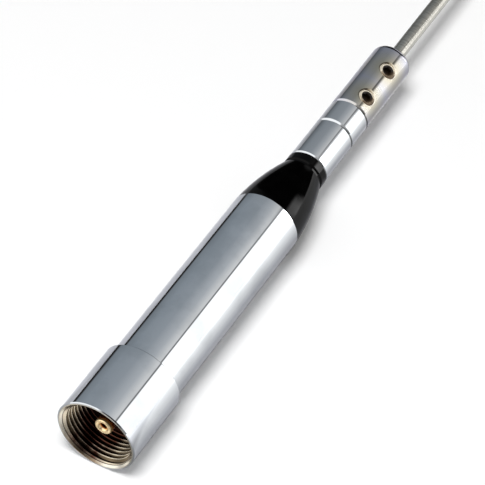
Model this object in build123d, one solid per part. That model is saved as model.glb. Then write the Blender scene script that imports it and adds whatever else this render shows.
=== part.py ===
from build123d import *

import os
from math import sqrt

# Whip antenna for a car radio, with a screw-on coaxial plug at its foot. Millimetres.
# The mast stands along +Z. The origin is on its axis, in the plane of the coupling ring's mouth.
# The two set screws face -Y.

# Plug: 5/8-24 coupling thread, 4 mm centre pin
thread_d = 15.875          # major diameter of the coupling thread
thread_depth = 0.52        # from the thread's root to its crest
thread_room = 0.06         # the root stands this far outside the mating thread
ring_wall = 1.0025         # ring outside the thread's root
ring_fit = 0.1             # radial running fit of the ring's skirt on the barrel
skirt_wall = 0.9
skirt_cover = 0.6          # the skirt hides the barrel's lower joint by this much
ring_travel = 2.0          # the ring slides this far up the plug
ring_edge = 0.2            # broken edges of the ring
mouth_flare = 0.45         # lead-in chamfer of the mouth
stop_land = 0.8            # plain land behind the thread, the ring's upper stop
snap_t = 0.8               # snap ring, height of its flat section
snap_seat = 0.35           # depth of the groove that holds it
snap_gap = 40.0            # degrees that the split ring leaves open
snap_fit = 0.05            # clearance of the snap ring in its groove
body_room = 0.3            # free room between the ring's parts and the plug inside them

pin_d = 3.96
pin_recess = 2.7           # pin tip behind the mouth
pin_round = 0.38           # rounding of the pin's outer edge
pin_hole_d = 1.5
pin_hole_round = 0.8       # trumpet mouth of the hole in the pin's tip
pin_hole_depth = 4.0
pin_seat_d = 3.2           # pin's seat, let into the insulator behind its shoulder
pin_seat_len = 1.5
shank_d = 2.4
solder_cup_d = 1.3
solder_cup_depth = 2.0
shank_out = 4.2            # shank standing out above the insulator

plug_recess = 8.5          # plug's teeth behind the mouth
tooth_h = 0.8
tooth_count = 4
tooth_angle = 24.0         # degrees of rim that one tooth takes
tooth_inset = 0.1          # teeth stand in from the sleeve's outside
socket_wall = 1.8375       # wall of the mating socket, between its thread and the sleeve
sleeve_wall = 0.9
sleeve_len = 2.8
flange_t = 1.2
neck_step = 0.6            # neck wider than the sleeve
travel_room = 0.1          # what stays free above and below the ring pushed right up
spigot_wall = 1.9          # plug's spigot around the insulator's stem
spigot_len = 5.3
insulator_inset = 0.6      # insulator's face behind the sleeve's rim
insulator_head = 4.6
stem_out = 0.8             # insulator's stem standing out of the plug's spigot
seat_fit = 0.02            # radial clearance of pieces that are fitted for good

# Barrel and what closes it
barrel_wall = 0.8
barrel_len = 50.8
bush_rim = 0.8
bush_wall = 1.7            # bush around the plug's spigot
bush_len = 6.0             # bush inside the barrel
seal_cord = 0.9            # thickness of both sealing rings
seal_corner = 0.25         # bevel of their corners
seal_groove = 1.3          # width of their grooves
seal_inset = 2.2           # seal's middle from the joint that it closes
barrel_edge = 0.15

# Matching coil and its parts
coil_room = 2.2            # former's body to the barrel, room for the coil
former_wall = 2.4
former_flange_t = 1.5
former_gap = 0.3           # room below the former, above the capacitor
former_room = 1.4          # room above the former, below the stud
strip_w = 1.4              # flat copper strip of the coil
strip_t = 0.8
coil_pitch = 2.2
coil_margin = 2.6          # least room between the coil and the former's flanges
lead_d = 1.0
lead_bend = 1.2            # inner radius of the leads' bends
cap_room = 0.8             # capacitor to the barrel and to the pin's shank
cap_t = 1.6
cap_bevel = 0.4
cap_lead_d = 0.5

# Cone between the barrel and the upper pieces
cone_lip = 0.05            # cone's foot stands in from the barrel's outside
cone_len = 15.3
cone_top_d = 9.9
cone_bulge = 0.57          # arc of the cone's side outside its chord, at the middle
cone_spigot = 5.0          # part of the cone inside the barrel
neck_groove = 0.8          # groove between the cone and its collar
neck_groove_depth = 0.25
neck_slope = 0.2           # height of the groove's sloping sides
collar_d = 9.66
collar_len = 2.2
collar_edge = 0.35
stud_d = 5.0
stud_grip = 8.0            # stud's length in the element base
washer_d = 9.0
washer_t = 0.8
nut_flats = 8.0
nut_t = 2.4
stud_tail = 1.0            # stud standing out below its nut
cup_edge = 0.3

# Element base, lock ring, whip holder and whip
mast_d = 9.5
base_len = 11.7
lock_len = 7.1
holder_len = 21.4
joint_bevel = 0.45         # bevel on the lower edge of each upper piece
joint_slit = 0.2           # fine slit that the relief under each bevel leaves at the joint
slit_depth = 0.3           # how far the slit reaches in behind the bevel
upper_edge = 0.1           # bevel on the upper edge of each upper piece
holder_round = 1.5         # rounding of the holder's top
link_d = 6.0               # threaded spigot that joins the three
link_grip = 1.7            # its reach into the holder
link_room = 0.2            # free room above the spigot
whip_d = 3.3
whip_len = 291.0
whip_fit = 0.05            # radial fit of the whip in its bore
whip_seat = 1.0            # bore's floor above the element base's shoulder
whip_edge = 0.3
screw_d = 4.0              # M4
screw_fit = 0.05
screw_len = 2.85
screw_gap = 0.05           # point of a screw to the whip
screw_first = 4.3          # lower screw above the holder's foot
screw_pitch = 9.8
screw_mouth = 0.15         # bevel round each screw's hole
socket_flats = 2.0
socket_depth = 1.4
socket_mouth = 0.25        # countersink around the socket's corners
screw_edge = 0.3
cup_point_d = 2.0
cup_point_depth = 0.4

# Radii and heights worked out from them
root_r = thread_d / 2 + thread_room
crest_r = root_r - thread_depth
ring_r = root_r + ring_wall
skirt_r = ring_r - skirt_wall
groove_r = skirt_r + snap_seat
barrel_r = skirt_r - ring_fit
bore_r = barrel_r - barrel_wall
flange_r = skirt_r - body_room
sleeve_r = thread_d / 2 - socket_wall
neck_r = sleeve_r + neck_step
spigot_r = bore_r - bush_wall
stem_r = spigot_r - spigot_wall
pin_r = pin_d / 2
shank_r = shank_d / 2
lead_r = lead_d / 2
stud_r = stud_d / 2
mast_r = mast_d / 2
link_r = link_d / 2
whip_r = whip_d / 2
screw_r = screw_d / 2
pin_seat_r = pin_seat_d / 2
former_r = bore_r - coil_room
coil_r = former_r + seat_fit + strip_t / 2
cap_r = (bore_r - shank_r) / 2 - cap_room
cap_x = (bore_r + shank_r) / 2

rim_z = plug_recess + tooth_h
flange_z = rim_z + sleeve_len
flange_top = flange_z + flange_t
snap_top = flange_top + snap_t
bush_z = snap_top + ring_travel + travel_room
barrel_z = bush_z + bush_rim
ring_top = barrel_z + skirt_cover
stop_z = flange_z - ring_travel - travel_room
insulator_z = rim_z + insulator_inset
step_z = insulator_z + insulator_head
spigot_top = bush_z + spigot_len
stem_top = spigot_top + stem_out
shank_top = stem_top + shank_out
bush_top = barrel_z + bush_len
barrel_top = barrel_z + barrel_len
cone_foot = barrel_top - cone_spigot
washer_z = cone_foot - washer_t
nut_z = washer_z - nut_t
stud_foot = nut_z - stud_tail
cap_z = bush_top + cap_lead_d + cap_r
former_z = cap_z + cap_r + former_gap
former_top = stud_foot - former_room
coil_turns = (former_top - former_z - 2 * former_flange_t - 2 * coil_margin) // coil_pitch
coil_len = coil_turns * coil_pitch
coil_z = (former_z + former_top - coil_len) / 2
coil_top = coil_z + coil_len
cone_top = barrel_top + cone_len
collar_z = cone_top + neck_groove
base_z = collar_z + collar_len
lock_z = base_z + base_len
holder_z = lock_z + lock_len
holder_top = holder_z + holder_len
link_top = holder_z + link_grip
whip_z = lock_z + whip_seat
whip_top = whip_z + whip_len
screw_heights = [holder_z + screw_first, holder_z + screw_first + screw_pitch]


def turned(*corners, arc=360.0):
    """A piece turned on the lathe, from its half section's (radius, height) corners."""
    outline = Polyline(*[(radius, 0, height) for radius, height in corners], close=True)
    return revolve(make_face(outline), Axis.Z, arc)


def rod(radius, low, high):
    """A plain round bar or hole on the mast's axis."""
    return Pos(0, 0, low) * extrude(Circle(radius), high - low)


def seal(middle):
    """A sealing ring pressed flat between its groove and the barrel."""
    inner, outer = bore_r - seal_cord, bore_r - seat_fit
    low, high = middle - seal_cord / 2, middle + seal_cord / 2
    return turned(
        (inner + seal_corner, low), (outer - seal_corner, low), (outer, low + seal_corner),
        (outer, high - seal_corner), (outer - seal_corner, high), (inner + seal_corner, high),
        (inner, high - seal_corner), (inner, low + seal_corner),
    )


def seal_groove_cut(middle):
    """The square groove that holds a sealing ring."""
    low, high = middle - seal_groove / 2, middle + seal_groove / 2
    floor = bore_r - seal_cord - seat_fit
    return turned((floor, low), (bore_r, low), (bore_r, high), (floor, high))


def coupling_ring():
    """The ring that pulls the plug onto its socket: threaded mouth, stop land, snap ring groove, skirt."""
    land_z = stop_z - stop_land
    return turned(
        (root_r + mouth_flare, 0), (ring_r - ring_edge, 0), (ring_r, ring_edge),
        (ring_r, ring_top - ring_edge), (ring_r - ring_edge, ring_top), (skirt_r, ring_top),
        (skirt_r, snap_top + snap_fit), (groove_r, snap_top + snap_fit),
        (groove_r, flange_top - snap_fit), (skirt_r, flange_top - snap_fit), (skirt_r, stop_z),
        (crest_r, stop_z), (crest_r, land_z), (root_r, land_z - thread_depth), (root_r, mouth_flare),
    )


def snap_ring():
    """The split ring in the coupling ring's groove, which bears on the plug's flange."""
    inner, outer = neck_r + body_room, groove_r - snap_fit
    return turned(
        (inner, flange_top), (outer, flange_top), (outer, snap_top), (inner, snap_top),
        arc=360 - snap_gap,
    )


def plug_body():
    """The plug's shell: toothed sleeve, flange, neck and the spigot that screws into the bush."""
    inner = sleeve_r - sleeve_wall
    shell = turned(
        (inner, rim_z), (sleeve_r, rim_z), (sleeve_r, flange_z), (flange_r, flange_z),
        (flange_r, flange_top), (neck_r, flange_top), (neck_r, bush_z), (spigot_r, bush_z),
        (spigot_r, spigot_top), (stem_r, spigot_top), (stem_r, step_z), (inner, step_z),
    )
    outer = sleeve_r - tooth_inset
    tooth = turned(
        (inner, plug_recess), (outer, plug_recess), (outer, rim_z), (inner, rim_z), arc=tooth_angle,
    )
    return shell + [Rot(0, 0, turn * 360 / tooth_count) * tooth for turn in range(tooth_count)]


def pin_insulator():
    """The moulded insulator that holds the pin in the plug."""
    head, stem = sleeve_r - sleeve_wall - seat_fit, stem_r - seat_fit
    seat_room, shank_room = pin_seat_r + seat_fit, shank_r + seat_fit
    seat_top = insulator_z + pin_seat_len
    return turned(
        (seat_room, insulator_z), (head, insulator_z), (head, step_z - seat_fit),
        (stem, step_z - seat_fit), (stem, stem_top), (shank_room, stem_top),
        (shank_room, seat_top), (seat_room, seat_top),
    )


def centre_pin():
    """The plated centre pin, drilled at its tip and at its soldered end."""
    shoulder = insulator_z - seat_fit
    seat_top = shoulder + pin_seat_len
    bar = rod(pin_r, pin_recess, shoulder) + rod(pin_seat_r, shoulder, seat_top)
    bar += rod(shank_r, seat_top, shank_top)
    bar -= rod(pin_hole_d / 2, pin_recess, pin_recess + pin_hole_depth)
    rims = bar.edges().filter_by(GeomType.CIRCLE).group_by(Axis.Z)[0].sort_by(SortBy.RADIUS)
    bar = fillet(rims[0], pin_hole_round)
    outer = bar.edges().filter_by(GeomType.CIRCLE).group_by(Axis.Z)[0].sort_by(SortBy.RADIUS)[-1]
    bar = fillet(outer, pin_round)
    return bar - rod(solder_cup_d / 2, shank_top - solder_cup_depth, shank_top)


def base_bush():
    """The turned bush that closes the barrel's foot and takes the plug's spigot."""
    outer, inner = bore_r - seat_fit, spigot_r + seat_fit
    bush = turned(
        (inner, bush_z), (barrel_r, bush_z), (barrel_r, barrel_z), (outer, barrel_z),
        (outer, bush_top), (inner, bush_top),
    )
    return bush - seal_groove_cut(barrel_z + seal_inset)


def barrel():
    """The plated tube that houses the matching coil."""
    return turned(
        (bore_r, barrel_z), (barrel_r, barrel_z), (barrel_r, barrel_top - barrel_edge),
        (barrel_r - barrel_edge, barrel_top), (bore_r, barrel_top),
    )


def cross_hole(height):
    """The hole through the former's wall that lets a lead reach the coil."""
    return Pos(0, 0, height) * Rot(0, 90, 0) * extrude(Circle(lead_r + seat_fit), bore_r)


def coil_former():
    """The moulded bobbin that the coil is wound on."""
    flange, inner = bore_r - seat_fit, former_r - former_wall
    low, high = former_z + former_flange_t, former_top - former_flange_t
    bobbin = turned(
        (inner, former_z), (flange, former_z), (flange, low), (former_r, low),
        (former_r, high), (flange, high), (flange, former_top), (inner, former_top),
    )
    return bobbin - cross_hole(coil_z) - cross_hole(coil_top)


def matching_coil():
    """The coil: flat strip wound on the former, one helix."""
    path = Pos(0, 0, coil_z) * Helix(coil_pitch, coil_len, coil_r)
    section = (path ^ 0) * Rectangle(strip_t, strip_w)
    return sweep(section, path, is_frenet=True)


def lead(far, turn_z):
    """A lead: from the mast's axis at height far, along it to turn_z, then out to the coil."""
    path = FilletPolyline((0, 0, far), (0, 0, turn_z), (former_r, 0, turn_z), radius=lead_bend)
    return sweep((path ^ 0) * Circle(lead_r), path)


def capacitor():
    """The disc capacitor that bridges the pin and the bush, with its two wires."""
    disc = Pos(cap_x, 0, cap_z) * Rot(90, 0, 0) * Cylinder(cap_r, cap_t)
    disc = chamfer(disc.edges().filter_by(GeomType.CIRCLE), cap_bevel)
    wire_r = cap_lead_d / 2
    ground_x = (spigot_r + bore_r) / 2 - wire_r
    ground = Pos(ground_x, 0, bush_top) * extrude(Circle(wire_r), cap_z - bush_top)
    reach = cap_x - shank_r - seat_fit
    live = Pos(cap_x, 0, cap_z) * Rot(0, -90, 0) * extrude(Circle(wire_r), reach)
    return disc + ground + live


def cone():
    """The moulded insulating cone, with the spigot that enters the barrel and the collar on top."""
    foot_r, top_r = barrel_r - cone_lip, cone_top_d / 2
    spigot, inner = bore_r - seat_fit, stud_r + seat_fit
    groove, collar = top_r - neck_groove_depth, collar_d / 2
    side = ThreePointArc(
        (foot_r, 0, barrel_top),
        ((foot_r + top_r) / 2 + cone_bulge, 0, (barrel_top + cone_top) / 2),
        (top_r, 0, cone_top),
    )
    rest = Polyline(
        (top_r, 0, cone_top), (groove, 0, cone_top + neck_slope),
        (groove, 0, collar_z - neck_slope), (collar - collar_edge, 0, collar_z),
        (collar, 0, collar_z + collar_edge), (collar, 0, base_z), (inner, 0, base_z),
        (inner, 0, cone_foot), (spigot, 0, cone_foot), (spigot, 0, barrel_top), (foot_r, 0, barrel_top),
    )
    body = revolve(make_face([side, rest]), Axis.Z)
    return body - seal_groove_cut(barrel_top - seal_inset)


def top_stud():
    """The brass stud that carries the upper pieces, with a solder cup at its foot."""
    end = base_z + stud_grip
    bar = turned(
        (0, stud_foot), (stud_r - cup_edge, stud_foot), (stud_r, stud_foot + cup_edge),
        (stud_r, end - cup_edge), (stud_r - cup_edge, end), (0, end),
    )
    return bar - rod(solder_cup_d / 2, stud_foot, stud_foot + solder_cup_depth)


def stud_washer():
    """The flat washer under the nut."""
    inner = stud_r + seat_fit
    return rod(washer_d / 2, washer_z, cone_foot) - rod(inner, washer_z, cone_foot)


def stud_nut():
    """The nut that draws the stud up in the cone."""
    hexagon = Pos(0, 0, nut_z) * extrude(RegularPolygon(nut_flats / 2, 6, major_radius=False), nut_t)
    return hexagon - rod(stud_r + seat_fit, nut_z, washer_z)


def jointed_foot(inner, low):
    """The corners at the foot of each upper piece: its seat, the relief, and the wide bevel."""
    bevel_r = mast_r - joint_bevel
    slit_r, slit_top = bevel_r - slit_depth, low + joint_slit
    return [
        (inner, low), (slit_r, low), (slit_r, slit_top), (bevel_r, slit_top),
        (mast_r, slit_top + joint_bevel),
    ]


def element_base():
    """The lowest upper piece, screwed on the stud, with the hollow spigot that joins the other two."""
    inner = stud_r + seat_fit
    roof = base_z + stud_grip + cup_edge
    bore = whip_r + whip_fit
    return turned(
        *jointed_foot(inner, base_z),
        (mast_r, lock_z - upper_edge), (mast_r - upper_edge, lock_z), (link_r, lock_z),
        (link_r, link_top), (bore, link_top), (bore, whip_z), (0, whip_z), (0, roof), (inner, roof),
    )


def lock_ring():
    """The middle piece, which locks the holder on the element base."""
    inner = link_r + seat_fit
    return turned(
        *jointed_foot(inner, lock_z),
        (mast_r, holder_z - upper_edge), (mast_r - upper_edge, holder_z), (inner, holder_z),
    )


def screw_hole(height):
    """One of the threaded cross holes, from inside the whip's bore out through the wall."""
    start = (whip_r + whip_fit) / 2
    return Pos(0, -start, height) * Rot(90, 0, 0) * extrude(Circle(screw_r), mast_r)


def whip_holder():
    """The top piece: a bored holder with two cross holes for the set screws."""
    inner, bore = link_r + seat_fit, whip_r + whip_fit
    room_top = link_top + link_room
    body = turned(
        (bore, room_top), (inner, room_top), *jointed_foot(inner, holder_z),
        (mast_r, holder_top), (bore, holder_top),
    )
    crown = body.edges().filter_by(GeomType.CIRCLE).group_by(Axis.Z)[-1].sort_by(SortBy.RADIUS)[-1]
    body = fillet(crown, holder_round)
    for height in screw_heights:
        body -= screw_hole(height)
    mouths = body.edges().filter_by_position(Axis.Y, -ring_r, -screw_r)
    return chamfer(mouths, screw_mouth)


def set_screw(height):
    """A socket set screw with a cup point."""
    radius = screw_r - screw_fit
    point = whip_r + screw_gap
    head = point + screw_len
    shape = turned(
        (0, point + cup_point_depth), (cup_point_d / 2, point), (radius - screw_edge, point),
        (radius, point + screw_edge), (radius, head - screw_edge), (radius - screw_edge, head), (0, head),
    )
    socket = extrude(RegularPolygon(socket_flats / 2, 6, major_radius=False), socket_depth)
    shape -= Pos(0, 0, head - socket_depth) * socket
    mouth_r = socket_flats / sqrt(3) + socket_mouth
    shape -= turned((0, head - mouth_r), (mouth_r, head), (0, head))
    return Pos(0, 0, height) * Rot(90, 0, 0) * shape


def whip_rod():
    """The steel whip, square at its foot and round at its tip."""
    shoulder = whip_top - whip_r
    side = Polyline(
        (0, 0, whip_top), (0, 0, whip_z), (whip_r - whip_edge, 0, whip_z),
        (whip_r, 0, whip_z + whip_edge), (whip_r, 0, shoulder),
    )
    half = whip_r * sqrt(0.5)
    tip = ThreePointArc((whip_r, 0, shoulder), (half, 0, shoulder + half), (0, 0, whip_top))
    return revolve(make_face([side, tip]), Axis.Z)


pieces = {
    "coupling_ring": coupling_ring(),
    "snap_ring": snap_ring(),
    "plug_body": plug_body(),
    "pin_insulator": pin_insulator(),
    "centre_pin": centre_pin(),
    "base_bush": base_bush(),
    "base_seal": seal(barrel_z + seal_inset),
    "barrel": barrel(),
    "capacitor": capacitor(),
    "lower_lead": lead(shank_top - solder_cup_depth, coil_z),
    "coil_former": coil_former(),
    "matching_coil": matching_coil(),
    "upper_lead": lead(stud_foot + solder_cup_depth, coil_top),
    "cone": cone(),
    "cone_seal": seal(barrel_top - seal_inset),
    "top_stud": top_stud(),
    "stud_washer": stud_washer(),
    "stud_nut": stud_nut(),
    "element_base": element_base(),
    "lock_ring": lock_ring(),
    "whip_holder": whip_holder(),
    "set_screw_lower": set_screw(screw_heights[0]),
    "set_screw_upper": set_screw(screw_heights[1]),
    "whip_rod": whip_rod(),
}

os.makedirs("parts", exist_ok=True)
for name, piece in pieces.items():
    export_step(piece, f"parts/{name}.step")
    print(f"{name}: {piece.volume:.1f} mm3")
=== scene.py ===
# %% [markdown]
# # Car antenna, dressed for its picture
#
# The antenna stands upright in the file, on the foot of its plug, because that is how the packed
# parts were drawn. The picture shows it lying on a white table. Nothing has to be turned for that:
# the table is simply drawn as a wall behind the mast, and the camera is rolled to match.
#
# We load the parts first and write down how large they are. Nothing that we add may make the
# antenna larger than this.

# %% Load the parts
import math

import bpy
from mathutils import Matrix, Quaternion, Vector


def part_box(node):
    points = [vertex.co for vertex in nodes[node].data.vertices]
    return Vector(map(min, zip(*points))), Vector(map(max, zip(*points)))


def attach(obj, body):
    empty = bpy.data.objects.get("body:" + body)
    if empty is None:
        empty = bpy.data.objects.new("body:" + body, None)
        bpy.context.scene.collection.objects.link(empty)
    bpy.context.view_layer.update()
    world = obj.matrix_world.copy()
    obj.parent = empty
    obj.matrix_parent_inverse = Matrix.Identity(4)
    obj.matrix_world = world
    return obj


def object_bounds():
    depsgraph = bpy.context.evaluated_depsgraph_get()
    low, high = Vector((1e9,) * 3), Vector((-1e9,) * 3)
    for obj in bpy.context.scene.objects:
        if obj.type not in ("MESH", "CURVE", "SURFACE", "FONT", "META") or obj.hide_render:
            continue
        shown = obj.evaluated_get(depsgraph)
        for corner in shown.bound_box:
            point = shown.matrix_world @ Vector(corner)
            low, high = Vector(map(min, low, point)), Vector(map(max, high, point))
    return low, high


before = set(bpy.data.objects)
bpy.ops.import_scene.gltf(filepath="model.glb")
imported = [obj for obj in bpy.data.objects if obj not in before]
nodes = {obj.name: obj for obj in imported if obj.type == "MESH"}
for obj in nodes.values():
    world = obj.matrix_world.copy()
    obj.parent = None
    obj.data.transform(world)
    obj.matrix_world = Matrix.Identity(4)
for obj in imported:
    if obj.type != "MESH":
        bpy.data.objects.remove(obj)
cad_box = [list(corner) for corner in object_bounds()]
print("parts:", len(nodes), "box:", cad_box)

# %% [markdown]
# Blender works in metres here, while everything on a plug is a matter of millimetres. One value
# turns one into the other. Colours are picked as sRGB hex values, as on any colour chart, and one
# function turns them to the linear values that shaders need.

# %% Units and colours
MM = 0.001


def colour(chart):
    """A chart colour such as #c8cacc as linear red, green, blue and alpha."""
    parts = [int(chart[i:i + 2], 16) / 255 for i in (1, 3, 5)]
    linear = [
        part / 12.92 if part <= 0.04045 else ((part + 0.055) / 1.055) ** 2.4 for part in parts]
    return (*linear, 1.0)


def per_metre(size_mm):
    """How often a pattern of that size in millimetres repeats in a metre: a texture's scale."""
    return 1 / (size_mm * MM)


print("one millimetre is", MM, "m, and mid grey is", round(colour("#808080")[0], 3))

# %% [markdown]
# A material is a small tree of nodes. One helper adds a node, sets its values and links what feeds
# it, and that is all we need to write every finish below. A socket that gets another node's output
# is linked, and any other value is simply set on it.
#
# One node comes back all the time. Map Range turns the values from its From Min to its From Max
# into 0 to 1, unless To Min and To Max say otherwise. From Min may be the larger of the two: the
# result then fades out where it would have faded in.

# %% A helper for nodes
def add_node(tree, kind, sockets=None, stops=(), **settings):
    """Adds one node. sockets gives its inputs values or outputs, stops fill a colour ramp."""
    node = tree.nodes.new(kind)
    for name, value in settings.items():
        setattr(node, name, value)
    for place, (position, shade) in enumerate(stops):
        elements = node.color_ramp.elements
        stop = elements[place] if place < len(elements) else elements.new(position)
        stop.position = position
        stop.color = shade
    for name, value in (sockets or {}).items():
        fitting = [socket for socket in node.inputs if socket.enabled and socket.name == name]
        socket = fitting[0] if fitting else node.inputs[name]
        if isinstance(value, bpy.types.NodeSocket):
            tree.links.new(value, socket)
        else:
            socket.default_value = value
    return node


def result(node):
    """The output in use of a node that has one for each kind of data."""
    return next(socket for socket in node.outputs if socket.enabled)


def new_material(name):
    """An empty material with its output node."""
    material = bpy.data.materials.new(name)
    material.use_nodes = True
    material.node_tree.nodes.clear()
    output = material.node_tree.nodes.new("ShaderNodeOutputMaterial")
    return material, material.node_tree, output.inputs["Surface"]


def dress(material, *names):
    """Puts a material on carried-over nodes."""
    for name in names:
        mesh = nodes[name].data
        mesh.materials.clear()
        mesh.materials.append(material)
    print(material.name, "on", ", ".join(names))


# %% [markdown]
# ## Bright chrome
#
# The barrel, the coupling ring and the three upper pieces are brass, polished and then plated with
# nickel and a very thin layer of chromium. To the eye that is almost a mirror, a little blue. What
# gives it away as plating and not glass is that the polishing wheel leaves it slightly wavy: the
# edges of the reflections wander by a hair. We could model that, but a bump of one or two
# thousandths of a millimetre does the same. A faint haze that varies from place to place makes it
# handled metal, and where the haze is thickest it greys the plate in soft cloudy patches.

# %% Chrome
CHROME = "#cdd0d3"
CHROME_DULL = 0.055  # its roughness where the haze is thickest
CLEAN = 0.03         # the roughness of any plate where there is no haze
WAVE_MM = 5.0        # distance between the polishing wheel's waves
WAVE_HEIGHT_MM = 0.0015
HAZE_MM = 9.0        # size of the patches where the shine is a little duller
CLOUD = "#6f777a"
CLOUD_SHARE = 0.14   # how much of that grey the thickest haze adds


def chrome_surface(tree, place, base, dull):
    """The plated metal's shader: a mirror with faint waves and haze."""
    waves = add_node(tree, "ShaderNodeTexNoise", {
        "Vector": place.outputs["Object"], "Scale": per_metre(WAVE_MM), "Detail": 2.0})
    bump = add_node(tree, "ShaderNodeBump", {
        "Height": waves.outputs["Fac"], "Strength": 1.0, "Distance": WAVE_HEIGHT_MM * MM})
    haze = add_node(tree, "ShaderNodeTexNoise", {
        "Vector": place.outputs["Object"], "Scale": per_metre(HAZE_MM), "Detail": 4.0})
    roughness = add_node(tree, "ShaderNodeMapRange", {
        "Value": haze.outputs["Fac"], "From Min": 0.35, "From Max": 0.7,
        "To Min": CLEAN, "To Max": dull})
    clouds = add_node(tree, "ShaderNodeMapRange", {
        "Value": haze.outputs["Fac"], "From Min": 0.48, "From Max": 0.62, "To Max": CLOUD_SHARE})
    shade = add_node(tree, "ShaderNodeMix", {
        "Factor": clouds.outputs["Result"], "A": base, "B": colour(CLOUD)}, data_type="RGBA")
    return add_node(tree, "ShaderNodeBsdfPrincipled", {
        "Base Color": result(shade), "Metallic": 1.0, "Roughness": roughness.outputs["Result"],
        "Normal": bump.outputs["Normal"]})


def chrome():
    """Bright chromium plate on polished brass."""
    material, tree, surface = new_material("chrome_plate")
    place = add_node(tree, "ShaderNodeTexCoord")
    shader = chrome_surface(tree, place, colour(CHROME), CHROME_DULL)
    tree.links.new(shader.outputs["BSDF"], surface)
    return material


dress(chrome(), "barrel")

# %% [markdown]
# The three upper pieces meet in two fine joints. The joints are painted dark as shade, mostly on
# one side of the mast, where the gap's shadow and its dark mirror image show. The pieces are
# plain outside, so the distance from the mast's axis tells where a joint begins. The painted shade
# comes nearer to the surface on the shaded side.

# %% The element base and the lock ring
JOINT_MM = 4.38      # surfaces nearer to the axis than this lie inside a joint
SHADE_RISE = 0.063   # how much further out the painted shade reaches on the shaded side
SHADED_WAY = (1.0, -0.35, 0.0)     # the side with the painted shade


def distance_from_axis(tree, place):
    """How far a point lies from the mast's axis, in metres."""
    flat = add_node(tree, "ShaderNodeVectorMath", {
        0: place.outputs["Object"], 1: (1.0, 1.0, 0.0)}, operation="MULTIPLY")
    return add_node(tree, "ShaderNodeVectorMath", {0: flat.outputs["Vector"]}, operation="LENGTH")


def with_joint_shade(tree, place, plate):
    """Painted shade over the plate, inside the joints and on one side of the mast."""
    radius = distance_from_axis(tree, place)
    side = add_node(tree, "ShaderNodeVectorMath", {
        0: place.outputs["Object"], 1: SHADED_WAY}, operation="DOT_PRODUCT")
    depth = add_node(tree, "ShaderNodeMath", {
        0: side.outputs["Value"], 1: -SHADE_RISE, 2: radius.outputs["Value"]},
        operation="MULTIPLY_ADD")
    inside = add_node(tree, "ShaderNodeMapRange", {
        "Value": depth.outputs["Value"], "From Min": (JOINT_MM + 0.05) * MM,
        "From Max": (JOINT_MM - 0.03) * MM, "To Max": 0.8})
    kept = add_node(tree, "ShaderNodeMapRange", {
        "Value": side.outputs["Value"], "From Min": 0.5 * MM, "From Max": 2.5 * MM})
    amount = add_node(tree, "ShaderNodeMath", {
        0: inside.outputs["Result"], 1: kept.outputs["Result"]}, operation="MULTIPLY")
    # Painted shade: the joints are drawn dark, mostly on one side of the mast.
    joint_shade = add_node(tree, "ShaderNodeBsdfPrincipled", {
        "Base Color": colour("#2b2a26"), "Roughness": 0.5, "Specular IOR Level": 0.2})
    return add_node(tree, "ShaderNodeMixShader", {
        "Fac": amount.outputs["Value"], 1: plate.outputs["BSDF"], 2: joint_shade.outputs["BSDF"]})


def jointed_chrome():
    """The chrome of the element base and the lock ring, with painted shade in their joints."""
    material, tree, surface = new_material("chrome_plate_with_joint")
    place = add_node(tree, "ShaderNodeTexCoord")
    shader = chrome_surface(tree, place, colour(CHROME), CHROME_DULL)
    tree.links.new(with_joint_shade(tree, place, shader).outputs["Shader"], surface)
    return material


dress(jointed_chrome(), "element_base", "lock_ring")

# %% [markdown]
# The holder is plated with bright nickel instead of chrome, which is a little warmer. Round the
# two tapped holes it is warmer still. Their mouths are painted with light and shade: dark on the
# left, where the wall is in shade, and nearly white on the right, where it is lit. What a point
# gets depends on how far it is from a hole's mouth. The back of the holder is as near to the
# hole's axis as the mouth, so depth has to count as well, only less than the way across: then the
# hole's walls still get the painted light and shade.

# %% The whip holder
DEPTH_COUNTS = 0.3   # how much depth counts beside the way across
WARM_MM = 2.0        # the nickel is warmest at this distance from a hole's middle
PLAIN_MM = 6.0       # and plain at this one
MOUTH_MM = 2.2       # radius of a hole's mouth with its bevel, which gets the painted light and shade
MOUTH_LIGHT_MM = 1.2        # the painted shade and light run from this far left to this far right
NICKEL_DULL = 0.075  # the nickel's roughness where its haze is thickest
screw_heights = [
    sum(corner.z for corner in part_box(name)) / 2
    for name in ("set_screw_lower", "set_screw_upper")]
holder_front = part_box("whip_holder")[0].y


def distance_from_screw(tree, place, height):
    """How far a point lies from a tapped hole's mouth, in metres."""
    moved = add_node(tree, "ShaderNodeVectorMath", {
        0: place.outputs["Object"], 1: (0.0, holder_front, height)}, operation="SUBTRACT")
    flat = add_node(tree, "ShaderNodeVectorMath", {
        0: moved.outputs["Vector"], 1: (1.0, DEPTH_COUNTS, 1.0)}, operation="MULTIPLY")
    return add_node(tree, "ShaderNodeVectorMath", {0: flat.outputs["Vector"]}, operation="LENGTH")


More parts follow.
